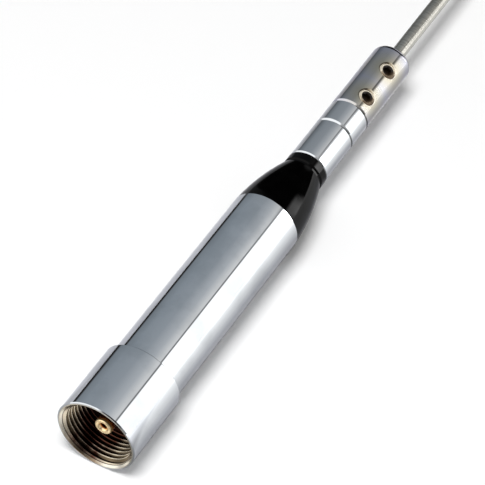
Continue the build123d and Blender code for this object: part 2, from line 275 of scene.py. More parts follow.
def holder_nickel():
    """Bright nickel, warmer near the two holes, with painted light and shade in their mouths."""
    material, tree, surface = new_material("bright_nickel_plate")
    place = add_node(tree, "ShaderNodeTexCoord")
    lower, upper = [distance_from_screw(tree, place, height) for height in screw_heights]
    nearest = add_node(tree, "ShaderNodeMath", {
        0: lower.outputs["Value"], 1: upper.outputs["Value"]}, operation="MINIMUM")
    reach = add_node(tree, "ShaderNodeMapRange", {
        "Value": nearest.outputs["Value"], "From Min": WARM_MM * MM, "From Max": PLAIN_MM * MM})
    plate = add_node(tree, "ShaderNodeValToRGB", {"Fac": reach.outputs["Result"]}, stops=(
        (0.06, colour("#b9b3a2")), (0.6, colour("#bab8b6")), (1.0, colour("#b8b8c2"))))
    mouth = add_node(tree, "ShaderNodeMapRange", {
        "Value": nearest.outputs["Value"], "From Min": (MOUTH_MM + 0.04) * MM,
        "From Max": (MOUTH_MM - 0.04) * MM})
    ways = add_node(tree, "ShaderNodeSeparateXYZ", {"Vector": place.outputs["Object"]})
    across_mouth = add_node(tree, "ShaderNodeMapRange", {
        "Value": ways.outputs["X"], "From Min": -MOUTH_LIGHT_MM * MM, "From Max": MOUTH_LIGHT_MM * MM})
    # Painted shade on the left of each hole's mouth, painted light on its right.
    mouth_light_and_shade = add_node(tree, "ShaderNodeValToRGB", {"Fac": across_mouth.outputs["Result"]}, stops=(
        (0.0, colour("#3a3226")), (0.35, colour("#c8bca4")), (1.0, colour("#fff8ea"))))
    painted_mouth = add_node(tree, "ShaderNodeBsdfPrincipled", {
        "Base Color": mouth_light_and_shade.outputs["Color"], "Roughness": 0.5, "Specular IOR Level": 0.3})
    shader = chrome_surface(tree, place, plate.outputs["Color"], NICKEL_DULL)
    joined = with_joint_shade(tree, place, shader)
    both = add_node(tree, "ShaderNodeMixShader", {
        "Fac": mouth.outputs["Result"], 1: joined.outputs["Shader"], 2: painted_mouth.outputs["BSDF"]})
    tree.links.new(both.outputs["Shader"], surface)
    return material


dress(holder_nickel(), "whip_holder")
print("set screws at", [round(height / MM, 2) for height in screw_heights], "mm")

# %% [markdown]
# The coupling ring is plated too, but chromium hardly reaches the inside of a deep bore. There the
# metal stays dull and has gone brown. The ring is one solid, so its material has to know where it
# is: the distance from the mast's axis tells the bore from the outside.

# %% The coupling ring
ROOT_MM = 7.9975     # root of the ring's thread, where the plating ends
LIP_MM = 0.5         # height of the mouth's bevel
BEVEL_MM = 0.67      # how far out from the root that bevel and its worn edge reach
STAIN_WAY = (0.1, 1.0, 0.3)       # side of the bore that has tarnished, and more so further in
STAIN_FROM_MM = 7.8  # how far that way the tarnish begins
STAIN_FULL_MM = 10.3              # and is full
RAGGED_MM = 4.0      # how far its edge wanders
SPOT_MM = 2.5        # size of the patches that make it wander


def tarnished_side(tree, place):
    """1 on the side of the bore that has gone brown, 0 elsewhere."""
    spots = add_node(tree, "ShaderNodeTexNoise", {
        "Vector": place.outputs["Object"], "Scale": per_metre(SPOT_MM), "Detail": 3.0})
    side = add_node(tree, "ShaderNodeVectorMath", {
        0: place.outputs["Object"], 1: STAIN_WAY}, operation="DOT_PRODUCT")
    uneven = add_node(tree, "ShaderNodeMath", {
        0: spots.outputs["Fac"], 1: RAGGED_MM * MM, 2: side.outputs["Value"]},
        operation="MULTIPLY_ADD")
    return add_node(tree, "ShaderNodeMapRange", {
        "Value": uneven.outputs["Value"], "From Min": STAIN_FROM_MM * MM,
        "From Max": STAIN_FULL_MM * MM})


def ring_chrome():
    """Chrome outside, a worn and warmer plate on the mouth's bevel, brown metal in the bore."""
    material, tree, surface = new_material("chrome_ring_brown_bore")
    place = add_node(tree, "ShaderNodeTexCoord")
    bright = chrome_surface(tree, place, colour(CHROME), CHROME_DULL)
    radius = distance_from_axis(tree, place)
    height = add_node(tree, "ShaderNodeSeparateXYZ", {"Vector": place.outputs["Object"]})
    below_rim = add_node(tree, "ShaderNodeMapRange", {
        "Value": height.outputs["Z"], "From Min": LIP_MM * MM, "From Max": (LIP_MM - 0.1) * MM})
    within = add_node(tree, "ShaderNodeMapRange", {
        "Value": radius.outputs["Value"], "From Min": (ROOT_MM + BEVEL_MM + 0.05) * MM,
        "From Max": (ROOT_MM + BEVEL_MM - 0.05) * MM})
    on_bevel = add_node(tree, "ShaderNodeMath", {
        0: below_rim.outputs["Result"], 1: within.outputs["Result"]}, operation="MULTIPLY")
    stain = tarnished_side(tree, place)
    worn_shade = add_node(tree, "ShaderNodeValToRGB", {"Fac": stain.outputs["Result"]}, stops=(
        (0.0, colour("#e9e2d2")), (1.0, colour("#8d7b66"))))
    worn = add_node(tree, "ShaderNodeBsdfPrincipled", {
        "Base Color": worn_shade.outputs["Color"], "Metallic": 1.0, "Roughness": 0.24})
    outside = add_node(tree, "ShaderNodeMixShader", {
        "Fac": on_bevel.outputs["Value"], 1: bright.outputs["BSDF"], 2: worn.outputs["BSDF"]})
    bore = add_node(tree, "ShaderNodeMapRange", {
        "Value": radius.outputs["Value"], "From Min": (ROOT_MM + 0.12) * MM,
        "From Max": (ROOT_MM + 0.02) * MM})
    tarnish = add_node(tree, "ShaderNodeValToRGB", {"Fac": stain.outputs["Result"]}, stops=(
        (0.0, colour("#453a30")), (1.0, colour("#1f0f0a"))))
    dull = add_node(tree, "ShaderNodeBsdfPrincipled", {
        "Base Color": tarnish.outputs["Color"], "Metallic": 1.0, "Roughness": 0.3})
    both = add_node(tree, "ShaderNodeMixShader", {
        "Fac": bore.outputs["Result"], 1: outside.outputs["Shader"], 2: dull.outputs["BSDF"]})
    tree.links.new(both.outputs["Shader"], surface)
    return material


dress(ring_chrome(), "coupling_ring")
ring_low, ring_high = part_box("coupling_ring")
print("ring is", round((ring_high.z - ring_low.z) / MM, 2), "mm high")

# %% [markdown]
# ## Gold, steel, brass and copper
#
# The other metals differ in three things only: their colour, how rough they are, and the marks
# that the tool left. The whip is stainless spring steel, ground between wheels, which leaves it
# satin with fine rings. One function covers them, with the marks' size across, through and along
# the mast in real millimetres. Grinding marks are too fine to show in the picture, so they are
# drawn coarser.

# %% Plain metals
def metal(name, base, worn, roughness, marks_mm, depth_mm):
    """A bare or thinly plated metal in two shades, with marks that run round the mast."""
    material, tree, surface = new_material(name)
    place = add_node(tree, "ShaderNodeTexCoord")
    stretch = add_node(tree, "ShaderNodeMapping", {
        "Vector": place.outputs["Object"],
        "Scale": tuple(per_metre(size) for size in marks_mm)})
    marks = add_node(tree, "ShaderNodeTexNoise", {
        "Vector": stretch.outputs["Vector"], "Scale": 1.0, "Detail": 3.0})
    shade = add_node(tree, "ShaderNodeValToRGB", {"Fac": marks.outputs["Fac"]}, stops=(
        (0.35, colour(worn)), (0.6, colour(base))))
    bump = add_node(tree, "ShaderNodeBump", {
        "Height": marks.outputs["Fac"], "Strength": 1.0, "Distance": depth_mm * MM})
    spread = add_node(tree, "ShaderNodeMapRange", {
        "Value": marks.outputs["Fac"], "From Min": 0.3, "From Max": 0.7,
        "To Min": roughness * 1.2, "To Max": roughness * 0.85})
    shader = add_node(tree, "ShaderNodeBsdfPrincipled", {
        "Base Color": shade.outputs["Color"], "Metallic": 1.0,
        "Roughness": spread.outputs["Result"], "Normal": bump.outputs["Normal"]})
    tree.links.new(shader.outputs["BSDF"], surface)
    return material


dress(metal("satin_ground_steel", "#c0beb6", "#b0aea6", 0.08, (4.0, 4.0, 0.4), 0.0004), "whip_rod")
dress(metal("nickel_plate", "#b7b2a6", "#97917f", 0.28, (2.0, 2.0, 0.3), 0.002), "plug_body")
dress(metal("spring_steel", "#9c9a96", "#7f7d79", 0.3, (2.0, 2.0, 0.4), 0.001), "snap_ring")
dress(metal("turned_brass", "#c9a45e", "#b08a44", 0.25, (4.0, 4.0, 0.25), 0.003),
      "base_bush", "top_stud", "stud_washer", "stud_nut")
dress(metal("enamelled_copper", "#b3653a", "#8f4726", 0.22, (3.0, 3.0, 1.5), 0.001),
      "matching_coil", "lower_lead", "upper_lead")

# %% [markdown]
# The centre pin is gold on brass, smooth and warm. Its tip is bright, and behind the tip it is
# drawn darker, in reddish brown. Height alone tells the two apart, because the pin stands upright.

# %% The centre pin
PIN_BRIGHT_MM = 3.1      # the pin's tip is bright up to this height
PIN_DARK_MM = 4.3        # and darkest from this one


def gold_pin():
    """Gold plate that is bright at the tip and dark behind it."""
    material, tree, surface = new_material("gold_plate_on_brass")
    place = add_node(tree, "ShaderNodeTexCoord")
    height = add_node(tree, "ShaderNodeSeparateXYZ", {"Vector": place.outputs["Object"]})
    behind = add_node(tree, "ShaderNodeMapRange", {
        "Value": height.outputs["Z"], "From Min": PIN_BRIGHT_MM * MM,
        "From Max": PIN_DARK_MM * MM})
    shade = add_node(tree, "ShaderNodeValToRGB", {"Fac": behind.outputs["Result"]}, stops=(
        (0.0, colour("#ffe4b4")), (0.2, colour("#f4a45a")), (0.55, colour("#a04818")),
        (1.0, colour("#3a1408"))))
    shader = add_node(tree, "ShaderNodeBsdfPrincipled", {
        "Base Color": shade.outputs["Color"], "Metallic": 1.0, "Roughness": 0.28})
    tree.links.new(shader.outputs["BSDF"], surface)
    return material


dress(gold_pin(), "centre_pin")

# %% [markdown]
# The set screws are plain alloy steel, with light painted on them: a painted highlight on the
# upper left of their rims, painted shade on the rest, and the socket painted dark as shade in its
# recess, darkest beside the highlight. So one ragged mask serves the rim and the socket, and each
# reads it with a ramp of its own.

# %% The set screws
SOCKET_MM = 1.35         # the radius of the socket, which is painted dark with shade
LIT_WAY = (-0.8, 0.0, 0.8)      # the side of the rim with the painted highlight
LIT_MM = (0.1, 2.3)    # how far that way the painted highlight begins and is full
LIGHT_EDGE_MM = 3.0             # how far the edge of the painted highlight wanders
LIGHT_PATCH_MM = 1.1            # size of the patches that make it wander


def painted_screw_steel(name, height):
    """Alloy steel with a painted highlight on one side of its rim and a socket painted dark with
    shade.
    """
    material, tree, surface = new_material(name)
    place = add_node(tree, "ShaderNodeTexCoord")
    radius = distance_from_screw(tree, place, height)
    rim = add_node(tree, "ShaderNodeMapRange", {
        "Value": radius.outputs["Value"], "From Min": SOCKET_MM * MM,
        "From Max": (SOCKET_MM + 0.15) * MM})
    spots = add_node(tree, "ShaderNodeTexNoise", {
        "Vector": place.outputs["Object"], "Scale": per_metre(LIGHT_PATCH_MM), "Detail": 3.0})
    side = add_node(tree, "ShaderNodeVectorMath", {
        0: place.outputs["Object"], 1: LIT_WAY}, operation="DOT_PRODUCT")
    level = add_node(tree, "ShaderNodeMath", {
        0: spots.outputs["Fac"], 1: LIGHT_EDGE_MM * MM, 2: side.outputs["Value"]},
        operation="MULTIPLY_ADD")
    middle = LIT_WAY[2] * height
    toward_light = add_node(tree, "ShaderNodeMapRange", {
        "Value": level.outputs["Value"], "From Min": middle + LIT_MM[0] * MM,
        "From Max": middle + LIT_MM[1] * MM})
    # Painted highlight on the upper left of the rim, painted shade on the rest.
    rim_light_and_shade = add_node(tree, "ShaderNodeValToRGB", {"Fac": toward_light.outputs["Result"]}, stops=(
        (0.0, colour("#6e5e4b")), (0.3, colour("#9c8d78")), (0.75, colour("#e2d8c4"))))
    # The socket is painted dark as shade in its recess, darkest beside the highlight.
    socket_shade = add_node(tree, "ShaderNodeValToRGB", {"Fac": toward_light.outputs["Result"]}, stops=(
        (0.0, colour("#8c7a64")), (0.35, colour("#4a3b2b")), (0.7, colour("#241a11")),
        (1.0, colour("#1c150e"))))
    shade = add_node(tree, "ShaderNodeMix", {
        "Factor": rim.outputs["Result"], "A": socket_shade.outputs["Color"],
        "B": rim_light_and_shade.outputs["Color"]}, data_type="RGBA")
    shader = add_node(tree, "ShaderNodeBsdfPrincipled", {
        "Base Color": result(shade), "Metallic": 0.4, "Roughness": 0.35})
    tree.links.new(shader.outputs["BSDF"], surface)
    return material


dress(painted_screw_steel("steel_painted_light_lower", screw_heights[0]), "set_screw_lower")
dress(painted_screw_steel("steel_painted_light_upper", screw_heights[1]), "set_screw_upper")

# %% [markdown]
# ## Plastics, rubber and ceramic
#
# The cone is injection moulded, glass filled nylon polished by its mould: deep black, with sharp
# but weak reflections, as any clear skin gives. Nylon's index of refraction is near 1.5. The real
# cone mirrors its surroundings less than that, so we lower it until its highlights fit. Its
# mould's grain is so fine that only the roughness wanders a little. The pin's insulator is brown
# phenolic resin. The inner pieces are never seen from outside, and still get a finish of their
# own, for whoever takes the antenna apart.

# %% Moulded pieces
def moulded(name, base, fleck, roughness, grain_mm, depth_mm, bending=1.5):
    """A moulded plastic, rubber or ceramic: a body colour with flecks, and a fine grain."""
    material, tree, surface = new_material(name)
    place = add_node(tree, "ShaderNodeTexCoord")
    grain = add_node(tree, "ShaderNodeTexNoise", {
        "Vector": place.outputs["Object"], "Scale": per_metre(grain_mm), "Detail": 4.0})
    shade = add_node(tree, "ShaderNodeValToRGB", {"Fac": grain.outputs["Fac"]}, stops=(
        (0.4, colour(base)), (0.75, colour(fleck))))
    bump = add_node(tree, "ShaderNodeBump", {
        "Height": grain.outputs["Fac"], "Strength": 1.0, "Distance": depth_mm * MM})
    spread = add_node(tree, "ShaderNodeMapRange", {
        "Value": grain.outputs["Fac"], "From Min": 0.3, "From Max": 0.7,
        "To Min": roughness * 0.8, "To Max": roughness * 1.2})
    shader = add_node(tree, "ShaderNodeBsdfPrincipled", {
        "Base Color": shade.outputs["Color"], "Roughness": spread.outputs["Result"],
        "IOR": bending, "Normal": bump.outputs["Normal"]})
    tree.links.new(shader.outputs["BSDF"], surface)
    return material


dress(moulded("gloss_black_nylon", "#010101", "#030303", 0.08, 2.5, 0.0006, bending=1.18), "cone")
dress(moulded("brown_phenolic", "#2a130b", "#3c1d10", 0.35, 0.6, 0.002), "pin_insulator")
dress(moulded("natural_nylon", "#d9d4c6", "#e3dfd3", 0.4, 1.5, 0.002), "coil_former")
dress(moulded("nitrile_rubber", "#141414", "#1d1d1d", 0.6, 0.4, 0.004), "base_seal", "cone_seal")
dress(moulded("dipped_ceramic", "#b4702f", "#c4823f", 0.3, 0.8, 0.003), "capacitor")

# %% [markdown]
# ## The coupling thread
#
# The ring screws onto its socket with a 5/8 inch thread of 24 turns to the inch, so its pitch is
# 1.058 mm. The solid's bore is plain, at the thread's root, and the ridge is ours to add. Its
# metal is brown on the flanks, bright on the crest, where the socket rubs, and bright where the
# mouth's bevel has cut the first turn. The crest is found by its distance from the axis. The bevel
# slopes by 45 degrees, so that distance and the height add up to the same sum all over it.

# %% The thread's metal
PITCH_MM = 25.4 / 24
CREST_MM = 7.4775    # crest of the thread, from the axis


def thread_metal():
    """Brown metal in the thread's roots, bright where the socket rubs and the bevel cuts it."""
    material, tree, surface = new_material("tarnished_thread")
    place = add_node(tree, "ShaderNodeTexCoord")
    radius = distance_from_axis(tree, place)
    rubbed = add_node(tree, "ShaderNodeMapRange", {
        "Value": radius.outputs["Value"], "From Min": (CREST_MM + 0.05) * MM,
        "From Max": (CREST_MM + 0.02) * MM})
    height = add_node(tree, "ShaderNodeSeparateXYZ", {"Vector": place.outputs["Object"]})
    from_bevel = add_node(tree, "ShaderNodeMath", {
        0: radius.outputs["Value"], 1: height.outputs["Z"]}, operation="ADD")
    cut = add_node(tree, "ShaderNodeMapRange", {
        "Value": from_bevel.outputs["Value"], "From Min": (ROOT_MM + LIP_MM + 0.08) * MM,
        "From Max": (ROOT_MM + LIP_MM + 0.04) * MM})
    bare = add_node(tree, "ShaderNodeMath", {
        0: rubbed.outputs["Result"], 1: cut.outputs["Result"]}, operation="MAXIMUM")
    stain = tarnished_side(tree, place)
    crest = add_node(tree, "ShaderNodeValToRGB", {"Fac": stain.outputs["Result"]}, stops=(
        (0.0, colour("#d8ccb6")), (1.0, colour("#55352a"))))
    flank = add_node(tree, "ShaderNodeValToRGB", {"Fac": stain.outputs["Result"]}, stops=(
        (0.0, colour("#766853")), (1.0, colour("#1c0e09"))))
    shade = add_node(tree, "ShaderNodeMix", {
        "Factor": bare.outputs["Value"], "A": flank.outputs["Color"],
        "B": crest.outputs["Color"]}, data_type="RGBA")
    shader = add_node(tree, "ShaderNodeBsdfPrincipled", {
        "Base Color": result(shade), "Metallic": 1.0, "Roughness": 0.24})
    tree.links.new(shader.outputs["BSDF"], surface)
    return material


print("the pitch is", round(PITCH_MM, 3), "mm, the crests", round(2 * CREST_MM, 3), "mm across")

# %% [markdown]
# A thread is one section carried up a helix. We draw the section once, as a triangle with its
# point cut off. A circle of three corners is such a triangle: with a radius of 1 it is 1.5 deep
# and the square root of 3 wide, so we know how to stretch it to the ridge's depth and pitch. It is
# drawn a little deeper than the ridge, because the cut takes its point away.

# %% The thread's section
THREAD_FOOT_MM = -0.17   # the helix begins below the mouth, where the bevel cuts it off
SUNK_MM = 0.06       # the ridge's foot is sunk this far into the ring's wall
POINTED = 1.22       # depth of the triangle before its point is cut, in depths of the ridge
FOOT_SHARE = 0.96    # share of the pitch that the ridge's foot covers
BLUNT_MM = 0.07      # how much of the point's two sides the cut takes
foot_radius = (ROOT_MM + SUNK_MM) * MM


def clear_selection():
    """Leaves edit mode with nothing selected, so that an operator acts only on what comes next."""
    if bpy.context.object and bpy.context.object.mode == "EDIT":
        bpy.ops.object.mode_set(mode="OBJECT")
    bpy.ops.object.select_all(action="DESELECT")


def settle(piece):
    """Puts a piece's place into its mesh, so that the object itself sits at the origin."""
    clear_selection()
    piece.select_set(True)
    bpy.context.view_layer.objects.active = piece
    bpy.ops.object.transform_apply(location=True, rotation=True, scale=True)


def thread_section():
    """The ridge's section: a triangle whose point looks at the axis and has its tip cut off."""
    depth = foot_radius - CREST_MM * MM
    clear_selection()
    bpy.ops.mesh.primitive_circle_add(
        vertices=3, radius=1.0, fill_type="NGON", rotation=(math.pi / 2, -math.pi / 2, 0),
        location=(0, 0, 0))
    section = bpy.context.object
    section.name = "coupling_thread"
    settle(section)
    bpy.ops.object.mode_set(mode="EDIT")
    bpy.ops.mesh.select_all(action="SELECT")
    bpy.ops.transform.resize(
        value=(depth * POINTED / 1.5, 1, FOOT_SHARE * PITCH_MM * MM / math.sqrt(3)),
        center_override=(0, 0, 0))
    bpy.ops.object.mode_set(mode="OBJECT")
    point = min(section.data.vertices, key=lambda corner: corner.co.x)
    foot = max(corner.co.x for corner in section.data.vertices)
    for corner in section.data.vertices:
        corner.select = corner.index == point.index
    bpy.ops.object.mode_set(mode="EDIT")
    bpy.ops.mesh.select_mode(type="VERT")
    bpy.ops.mesh.bevel(offset=BLUNT_MM * MM, affect="VERTICES", segments=2)
    bpy.ops.mesh.select_all(action="SELECT")
    bpy.ops.transform.translate(value=(
        foot_radius - foot, 0, (THREAD_FOOT_MM + PITCH_MM / 2) * MM))
    bpy.ops.object.mode_set(mode="OBJECT")
    return section


section = thread_section()
print("thread section has", len(section.data.vertices), "corners")

# %% [markdown]
# The Screw modifier carries the section up. Where a real thread is cut, its ends run out into the
# wall, so over a short part of a turn at both ends we draw the ridge back into the ring's wall,
# and then close them. Where it comes out at the mouth, the mouth's bevel cuts it back to its own
# slope. The ridge turns and slides with the coupling ring.

# %% The coupling thread
THREAD_TURNS = 7.7
THREAD_START = math.radians(-60)  # where the ridge begins, from +X round towards +Y
THREAD_STEPS = 96    # faces round one turn
RUN_OUT = 0.15       # part of a turn over which the ridge's ends fade
BACK_MM = 0.02       # the cut lies this far behind the bevel's slope and the mouth's plane


def coupling_thread(ridge):
    """The thread's ridge: the section carried up a right-handed helix, with closed, faded ends."""
    ridge.rotation_euler = (0, 0, THREAD_START)
    settle(ridge)
    corners = len(ridge.data.vertices)
    climb = ridge.modifiers.new("climb", "SCREW")
    climb.axis = "Z"
    climb.angle = THREAD_TURNS * math.tau
    climb.screw_offset = THREAD_TURNS * PITCH_MM * MM
    climb.steps = climb.render_steps = round(THREAD_TURNS * THREAD_STEPS)
    climb.use_smooth_shade = True
    bpy.ops.object.modifier_apply(modifier=climb.name)
    rings = len(ridge.data.vertices) // corners
    for corner in ridge.data.vertices:
        turns = (corner.index // corners) / (rings - 1) * THREAD_TURNS
        height = min(turns, THREAD_TURNS - turns, RUN_OUT) / RUN_OUT
        flat = Vector((corner.co.x, corner.co.y, 0))
        radius = foot_radius + (flat.length - foot_radius) * height
        bevel = (ROOT_MM + LIP_MM + BACK_MM) * MM - corner.co.z
        place = flat.normalized() * min(max(radius, bevel), foot_radius + LIP_MM * MM)
        corner.co = (place.x, place.y, max(corner.co.z, BACK_MM * MM))
    bpy.ops.object.mode_set(mode="EDIT")
    bpy.ops.mesh.select_all(action="SELECT")
    bpy.ops.mesh.fill_holes(sides=0)
    bpy.ops.mesh.normals_make_consistent(inside=False)
    bpy.ops.object.mode_set(mode="OBJECT")
    return ridge


thread = coupling_thread(section)
thread.data.materials.append(thread_metal())
heights = [corner.co.z / MM for corner in thread.data.vertices]
radii = [corner.co.xy.length / MM for corner in thread.data.vertices]
print("thread from", round(min(heights), 2), "to", round(max(heights), 2), "mm, radius",
      round(min(radii), 3), "to", round(max(radii), 3), "mm,", len(thread.data.polygons), "faces")
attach(thread, "ring")

# %% [markdown]
# ## The table
#
# The antenna lies on a white table. In the file that table stands upright behind the mast and
# touches the coupling ring, its widest piece. Two directions describe it: the way it faces, and
# the way to the right along it, square to the mast.

# %% Where the table stands
TABLE_AZIMUTH = math.radians(-32.9)   # the way the table faces, from -Y towards +X
TABLE_HALF = 0.19                     # half its width across the mast, in metres
RING_MM = 9.0                         # radius of the coupling ring
out_of_table = Vector((math.sin(TABLE_AZIMUTH), -math.cos(TABLE_AZIMUTH), 0))
across_table = Vector((math.cos(TABLE_AZIMUTH), math.sin(TABLE_AZIMUTH), 0))
mast_height = cad_box[1][2]
print("the table faces", [round(part, 3) for part in out_of_table])

# %% [markdown]
# Near its edges each chrome piece mirrors the table, and what stands on it and shades it. We can't
# build all that, so the table has a second set of shades that only mirror rays see. They run
# across the mast as a ramp. Along the mast, each piece looks at its own strip of the table. A ray
# climbs while it goes sideways, so a strip is found by its height less a share of the way
# sideways.

# %% What mirrors see of the table
MIRROR_RISE = 0.82    # a mirrored ray climbs this much for each millimetre it goes sideways
TABLE_STRIPS = (      # where each begins and is full, along the mast, and its shades across it
    (None, None, (
        (-190, "#d6d6dc"), (-20, "#c0c0c4"), (-12, "#8c8c8c"), (12, "#8c8c8c"), (40, "#d6d6da"))),
    (-7.5, -4.5, (
        (-190, "#d6d6dc"), (-28, "#d6d6dc"), (-22, "#e8e8ec"), (-16, "#ffffff"), (-4, "#ffffff"),
        (4, "#d6d6da"), (6, "#c6c6ca"), (9.5, "#b6b6ba"), (12.5, "#b6b6ba"), (15, "#cacace"),
        (22, "#e9e9ea"), (35, "#f3f3f3"))),
    (78, 90, (
        (-190, "#9c9ca0"), (-55, "#b0b0b4"), (-30, "#cacace"), (-15, "#d6d6dc"), (4, "#d6d6da"),
        (6, "#c6c6ca"), (9.5, "#b8b8bc"), (12.5, "#c0c0c4"), (15, "#d4d4d8"), (22, "#f1f1f2"),
        (35, "#f6f6f6"))),
    (101, 112, (
        (-190, "#b0b0b4"), (-55, "#bebec2"), (-30, "#cacace"), (-15, "#d6d6dc"), (-5, "#d6d6dc"),
        (4, "#ffffff"), (6, "#f4f4f4"), (7.2, "#d4d4d6"), (9, "#c9c9cb"), (11.3, "#cdcdcf"),
        (15, "#dbdbdd"), (24, "#f3f3f3"), (45, "#ffffff"))),
    (128, 138, (
        (-190, "#848484"), (-3, "#848484"), (4, "#e8e8e8"), (9, "#ffffff"), (45, "#ffffff"))),
)


def across(right_mm):
    """Where a place on the table, in millimetres to the right of the mast, falls on a ramp."""
    return (right_mm * MM / TABLE_HALF + 1) / 2


def mirrored_shade(tree, side, away, ways):
    """The table's colour for mirror rays, from strips of shades one above the other."""
    along = add_node(tree, "ShaderNodeMapRange", {
        "Value": side.outputs["Value"], "From Min": -TABLE_HALF, "From Max": TABLE_HALF})
    shown_at = add_node(tree, "ShaderNodeMath", {
        0: away.outputs["Value"], 1: -MIRROR_RISE, 2: ways.outputs["Z"]}, operation="MULTIPLY_ADD")
    shade = None
    for start_mm, full_mm, stops in TABLE_STRIPS:
        strip = add_node(tree, "ShaderNodeValToRGB", {"Fac": along.outputs["Result"]}, stops=tuple(
            (across(right_mm), colour(chart)) for right_mm, chart in stops))
        if shade is None:
            shade = strip.outputs["Color"]
            continue
        reached = add_node(tree, "ShaderNodeMapRange", {
            "Value": shown_at.outputs["Value"], "From Min": start_mm * MM,
            "From Max": full_mm * MM})
        shade = result(add_node(tree, "ShaderNodeMix", {
            "Factor": reached.outputs["Result"], "A": shade,
            "B": strip.outputs["Color"]}, data_type="RGBA"))
    return shade


print("the table has", len(TABLE_STRIPS), "strips of shades")

# %% [markdown]
# Two places on the table are brighter than paint can be, and again only for mirror rays. A white
# card lies before the mouth on the left and lights the thread. The far right of the table lies
# nearer to the window. Both are given as a little light of the table's own. The eye gets a trace
# of such light everywhere, which lifts the table to plain white.

# %% Where the table glows
CARD_GLOW = 0.35      # the card's light
CARD_HALF_MM = 14.0   # it reaches this far from the mast's axis
CARD_LEFT_MM = -2.0   # and ends here on its right side
FAR_GLOW = 0.9        # the light at the far right
FAR_FROM, FAR_FULL = 0.02, 0.09       # it begins and is full this far out, in metres
SEEN_GLOW = 0.12      # what the eye gets


def table_glow(tree, path, side, away, ways):
    """How much light the table gives of its own, by the kind of ray and the place."""
    seen = add_node(tree, "ShaderNodeMath", {
        0: path.outputs["Is Camera Ray"], 1: SEEN_GLOW}, operation="MULTIPLY")
    far = add_node(tree, "ShaderNodeMapRange", {
        "Value": side.outputs["Value"], "From Min": FAR_FROM, "From Max": FAR_FULL,
        "To Max": FAR_GLOW})
    below = add_node(tree, "ShaderNodeMapRange", {
        "Value": ways.outputs["Z"], "From Max": -1.0 * MM, "To Max": CARD_GLOW})
    near = add_node(tree, "ShaderNodeMapRange", {
        "Value": away.outputs["Value"], "From Min": (CARD_HALF_MM + 1) * MM,
        "From Max": (CARD_HALF_MM - 1) * MM})
    left = add_node(tree, "ShaderNodeMapRange", {
        "Value": side.outputs["Value"], "From Min": (CARD_LEFT_MM + 1) * MM,
        "From Max": (CARD_LEFT_MM - 1) * MM})
    card = add_node(tree, "ShaderNodeMath", {
        0: near.outputs["Result"], 1: left.outputs["Result"]}, operation="MULTIPLY")
    mirrored = add_node(tree, "ShaderNodeMath", {
        0: below.outputs["Result"], 1: card.outputs["Value"], 2: far.outputs["Result"]},
        operation="MULTIPLY_ADD")
    return add_node(tree, "ShaderNodeMath", {
        0: path.outputs["Is Glossy Ray"], 1: mirrored.outputs["Value"], 2: seen.outputs["Value"]},
        operation="MULTIPLY_ADD")


print("the card glows by", CARD_GLOW, "and the far right by", FAR_GLOW)

# %% [markdown]
# The table itself is a plain sheet, painted white and matt. It has a front only: seen from behind
# it lets the eye through, so that the back of the antenna can be looked at too.

# %% The table
def table_lacquer():
    """White lacquer that the lamp lights, with shades of its own for mirrors."""
    material, tree, surface = new_material("white_table")
    path = add_node(tree, "ShaderNodeLightPath")
    place = add_node(tree, "ShaderNodeTexCoord")
    side = add_node(tree, "ShaderNodeVectorMath", {
        0: place.outputs["Object"], 1: tuple(across_table)}, operation="DOT_PRODUCT")
    away = add_node(tree, "ShaderNodeMath", {0: side.outputs["Value"]}, operation="ABSOLUTE")
    ways = add_node(tree, "ShaderNodeSeparateXYZ", {"Vector": place.outputs["Object"]})
    glow = table_glow(tree, path, side, away, ways)
    lacquer = add_node(tree, "ShaderNodeMix", {
        "Factor": path.outputs["Is Glossy Ray"], "A": colour("#ededed"),
        "B": mirrored_shade(tree, side, away, ways)}, data_type="RGBA")
    front = add_node(tree, "ShaderNodeBsdfPrincipled", {
        "Base Color": result(lacquer), "Roughness": 0.8, "Specular IOR Level": 0.1,
        "Emission Color": (1.0, 1.0, 1.0, 1.0), "Emission Strength": glow.outputs["Value"]})
    behind = add_node(tree, "ShaderNodeBsdfTransparent")
    facing = add_node(tree, "ShaderNodeNewGeometry")
    both = add_node(tree, "ShaderNodeMixShader", {
        "Fac": facing.outputs["Backfacing"], 1: front.outputs["BSDF"], 2: behind.outputs["BSDF"]})
    tree.links.new(both.outputs["Shader"], surface)
    return material


clear_selection()
bpy.ops.mesh.primitive_plane_add(size=1.0)
table = bpy.context.object
table.name = "table"
table.scale = (2 * TABLE_HALF, 2 * mast_height, 1.0)
table.rotation_mode = "QUATERNION"
upright = Quaternion((1, 0, 0), math.pi / 2)
table.rotation_quaternion = Quaternion((0, 0, 1), TABLE_AZIMUTH) @ upright
table.location = -out_of_table * RING_MM * MM + Vector((0, 0, mast_height * 0.5))
settle(table)
table.data.materials.append(table_lacquer())
print("table's front looks along", [round(part, 3) for part in table.data.polygons[0].normal])

# %% [markdown]
# ## The studio
#
# Chrome shows its surroundings and little else, so most of the work is here. The studio has one
# tall white window low on the right, grey walls, and two narrow dark gaps, one beside the window
# and one where the walls meet the table. The long straight lines on the barrel are those gaps.
# They only depend on the compass direction, so the world's colour is read from the azimuth of each
# ray.
#
# Slanted faces look elsewhere: the cone looks up past the window's top at a dark ceiling, and the
# fine bevels look down, where the floor is white on the left and dark on the right. So the room is
# a stack of such rings of colour, and the height of the ray picks one. The camera looks up the
# mast, so a ray that comes off a higher piece is a little steeper, and the collar, the element
# base, the holder and the whip each have a ring of their own.

